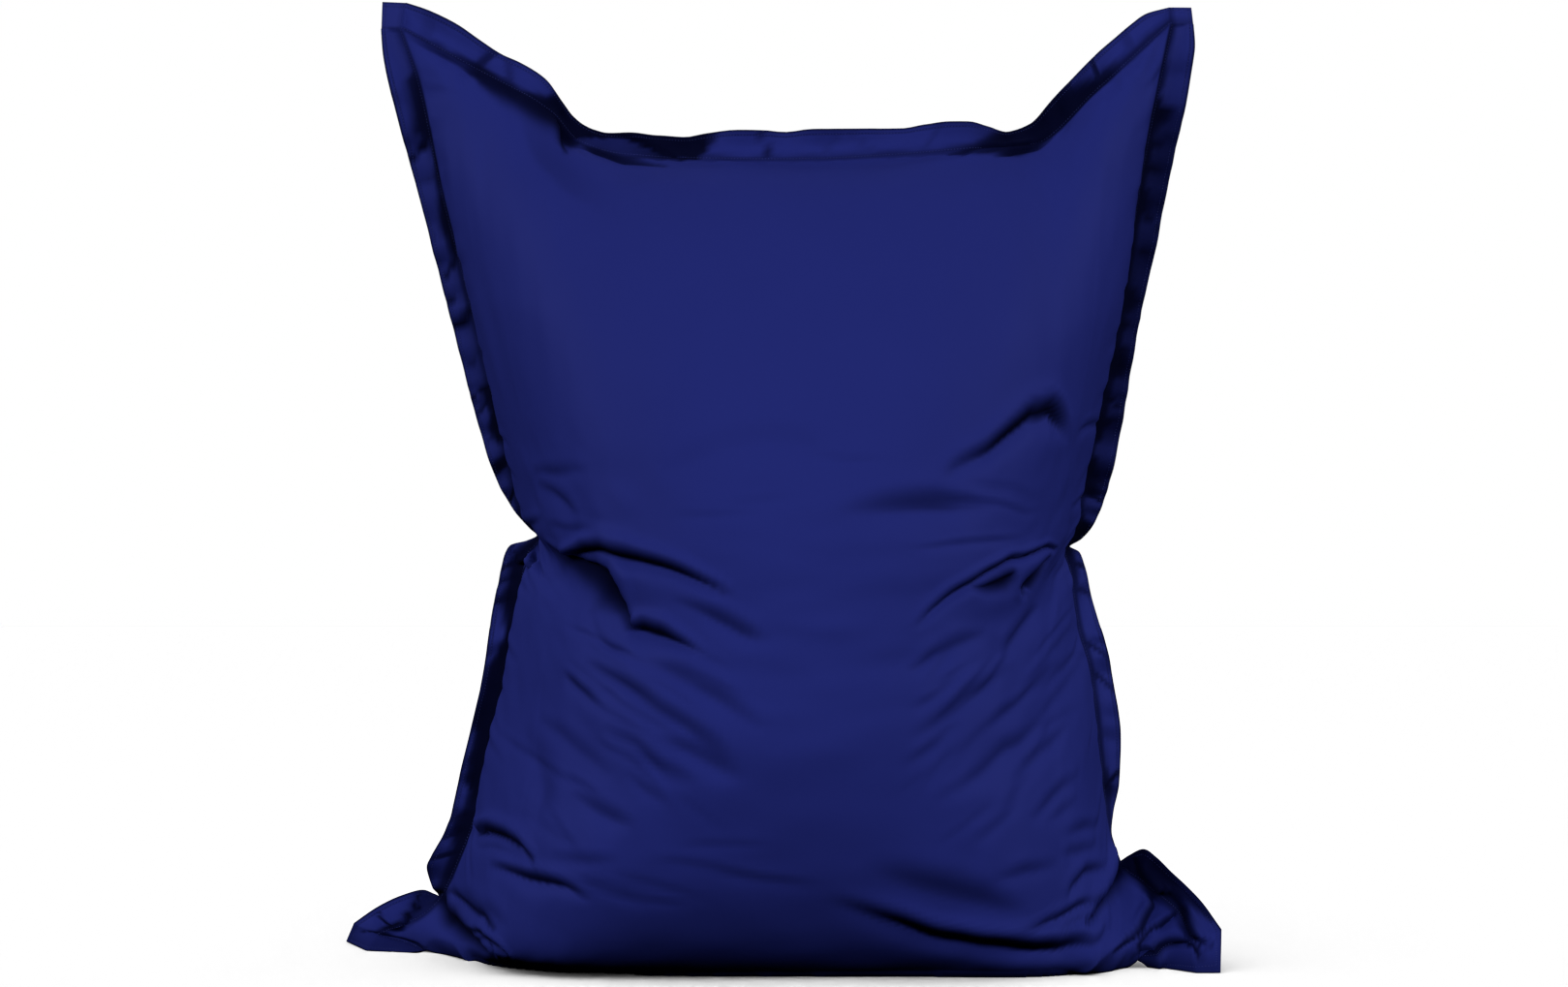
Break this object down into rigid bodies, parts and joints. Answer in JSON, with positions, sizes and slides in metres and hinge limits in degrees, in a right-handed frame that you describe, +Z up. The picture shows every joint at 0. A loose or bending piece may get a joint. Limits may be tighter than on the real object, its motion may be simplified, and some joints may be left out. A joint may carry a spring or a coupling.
{
  "type": "giant bean bag",
  "caption": "Giant rectangular bean bag of smooth dark blue cloth with a flat top-stitched border, standing upright with its filling low, a pinched waist and raised corners.",
  "frame": {"origin": "on the floor, under the middle of the object's box", "axes": "+Z up, from the base to the ears; +X to the right, seen from the front; -Y to the front, where the belly bulges"},
  "size_m": [1.2626, 0.7576, 1.4063],
  "materials": {
    "cover_cloth": "satin"
  },
  "bodies": {
    "root": {"filled_cover": "cover_cloth"}
  },
  "joints": []
}
